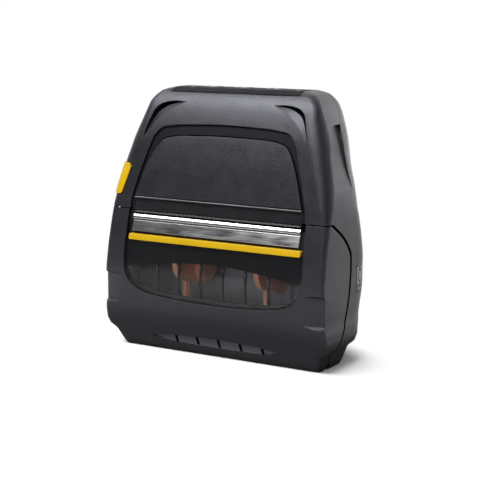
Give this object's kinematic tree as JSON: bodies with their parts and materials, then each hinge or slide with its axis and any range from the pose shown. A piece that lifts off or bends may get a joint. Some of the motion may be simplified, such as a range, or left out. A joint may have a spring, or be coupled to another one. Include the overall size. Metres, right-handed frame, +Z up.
{
  "type": "mobile printer",
  "caption": "Handheld label printer standing upright, with a hinged media cover, clear window, arched front panel, platen roller, media guides, keys and battery.",
  "frame": {"origin": "middle of the flat base, on the plane the printer stands on", "axes": "+X to the viewer's right as seen from the front, +Y towards the back, +Z up"},
  "size_m": [0.1532, 0.0668, 0.1587],
  "materials": {
    "charcoal_plastic": "fine moulded texture",
    "black_plastic": "semi-gloss",
    "fascia_plastic": "fine moulded texture",
    "smoked_window": "clear smoked plastic",
    "yellow_plastic": "satin",
    "bright_steel": "bright",
    "satin_metal": "satin",
    "copper_plastic": "satin",
    "black_rubber": "matt",
    "white_nylon": "satin",
    "board_green": "solder mask",
    "brass_bush": "machined",
    "key_grey": "satin",
    "lens_green": "clear"
  },
  "bodies": {
    "printer_body": {"arch_frame": "black_plastic", "back_cover": "charcoal_plastic", "back_screw_1": "bright_steel", "back_screw_2": "bright_steel", "back_screw_3": "bright_steel", "back_screw_4": "bright_steel", "battery_contacts": "brass_bush", "battery_tray": "black_plastic", "control_panel": "black_plastic", "drive_motor": "satin_metal", "exit_bar": "bright_steel", "exit_lip": "black_plastic", "fascia_plate": "fascia_plastic", "fascia_trim": "satin_metal", "guide_rail": "bright_steel", "head_heatsink": "satin_metal", "head_spring_left": "bright_steel", "head_spring_right": "bright_steel", "key_board": "board_green", "latch_spring": "bright_steel", "main_board": "board_green", "main_housing": "charcoal_plastic", "mechanism_bracket": "satin_metal", "media_trough": "black_plastic", "power_socket": "black_plastic", "print_head": "black_plastic", "status_lens_left": "lens_green", "status_lens_right": "lens_green", "strap_anchor_left": "black_plastic", "strap_anchor_right": "black_plastic", "strap_post_left": "black_plastic", "strap_post_right": "black_plastic", "usb_socket": "bright_steel"},
    "media_cover": {"cover_shell": "charcoal_plastic", "cover_window": "smoked_window", "window_mask": "black_plastic", "window_frame": "black_plastic", "accent_stripe": "yellow_plastic", "guide_strip": "satin_metal", "tear_strip": "bright_steel", "platen_carrier": "satin_metal", "platen_bush_left": "brass_bush", "platen_bush_right": "brass_bush", "hinge_pin_left": "bright_steel", "hinge_pin_right": "bright_steel"},
    "platen": {"platen_shaft": "bright_steel", "platen_roller": "black_rubber", "platen_gear": "white_nylon"},
    "idler": {"idler_gear": "white_nylon"},
    "pinion": {"motor_pinion": "brass_bush"},
    "latch": {"latch_shaft": "bright_steel"},
    "release": {"release_button": "yellow_plastic"},
    "guide_left": {"media_guide_left": "copper_plastic"},
    "guide_right": {"media_guide_right": "copper_plastic"},
    "power_button": {"power_key": "key_grey"},
    "feed_button": {"feed_key": "key_grey"},
    "radio_button": {"radio_key": "key_grey"},
    "battery": {"battery_pack": "black_plastic"},
    "catch": {"battery_catch": "key_grey"},
    "side_door": {"port_door": "black_rubber"}
  },
  "joints": [
    {"name": "cover_hinge", "type": "hinge", "parent": "printer_body", "child": "media_cover", "pos_m": [0, -0.02, 0.005], "axis": [1, 0, 0], "range_deg": [0, 85]},
    {"name": "platen_spin", "type": "hinge", "parent": "media_cover", "child": "platen", "pos_m": [0, -0.0185, 0.0768], "axis": [1, 0, 0], "continuous": true},
    {"name": "idler_spin", "type": "hinge", "parent": "printer_body", "child": "idler", "pos_m": [-0.066, -0.0026, 0.0796], "axis": [1, 0, 0], "continuous": true},
    {"name": "pinion_spin", "type": "hinge", "parent": "printer_body", "child": "pinion", "pos_m": [-0.066, 0.00794, 0.08844], "axis": [1, 0, 0], "continuous": true},
    {"name": "release_press", "type": "hinge", "parent": "printer_body", "child": "release", "pos_m": [-0.0654, -0.022, 0.103], "axis": [0, 0, -1], "range_deg": [0, 6], "stiffness_Nm_per_rad": 0.5, "springref_deg": -5.73},
    {"name": "latch_turn", "type": "hinge", "parent": "printer_body", "child": "latch", "pos_m": [0, -0.0036, 0.0902], "axis": [-1, 0, 0], "range_deg": [0, 18]},
    {"name": "guide_left_slide", "type": "slide", "parent": "printer_body", "child": "guide_left", "axis": [-1, 0, 0], "range_m": [0, 0.0296], "stiffness_N_per_m": 30, "springref_m": -0.02},
    {"name": "guide_right_slide", "type": "slide", "parent": "printer_body", "child": "guide_right", "axis": [1, 0, 0], "range_m": [0, 0.0296]},
    {"name": "power_press", "type": "slide", "parent": "printer_body", "child": "power_button", "axis": [0, 0, -1], "range_m": [0, 0.0008], "stiffness_N_per_m": 600, "springref_m": -0.0005},
    {"name": "feed_press", "type": "slide", "parent": "printer_body", "child": "feed_button", "axis": [0, 0, -1], "range_m": [0, 0.0008], "stiffness_N_per_m": 600, "springref_m": -0.0005},
    {"name": "radio_press", "type": "slide", "parent": "printer_body", "child": "radio_button", "axis": [0, 0, -1], "range_m": [0, 0.0008], "stiffness_N_per_m": 600, "springref_m": -0.0005},
    {"name": "battery_slide", "type": "slide", "parent": "printer_body", "child": "battery", "axis": [0, 1, 0], "range_m": [0, 0.015]},
    {"name": "catch_slide", "type": "slide", "parent": "printer_body", "child": "catch", "axis": [0, 0, 1], "range_m": [0, 0.002], "stiffness_N_per_m": 200, "springref_m": -0.003},
    {"name": "port_door_hinge", "type": "hinge", "parent": "printer_body", "child": "side_door", "pos_m": [0.0706, 0.0228, 0.053], "axis": [0, 0, 1], "range_deg": [0, 90], "stiffness_Nm_per_rad": 0.004}
  ],
  "couplings": [
    {"joint": "idler_spin", "follows": "platen_spin", "ratio": -0.66667},
    {"joint": "pinion_spin", "follows": "platen_spin", "ratio": 1.6},
    {"joint": "latch_turn", "follows": "release_press", "ratio": 3},
    {"joint": "guide_right_slide", "follows": "guide_left_slide", "ratio": 1}
  ]
}
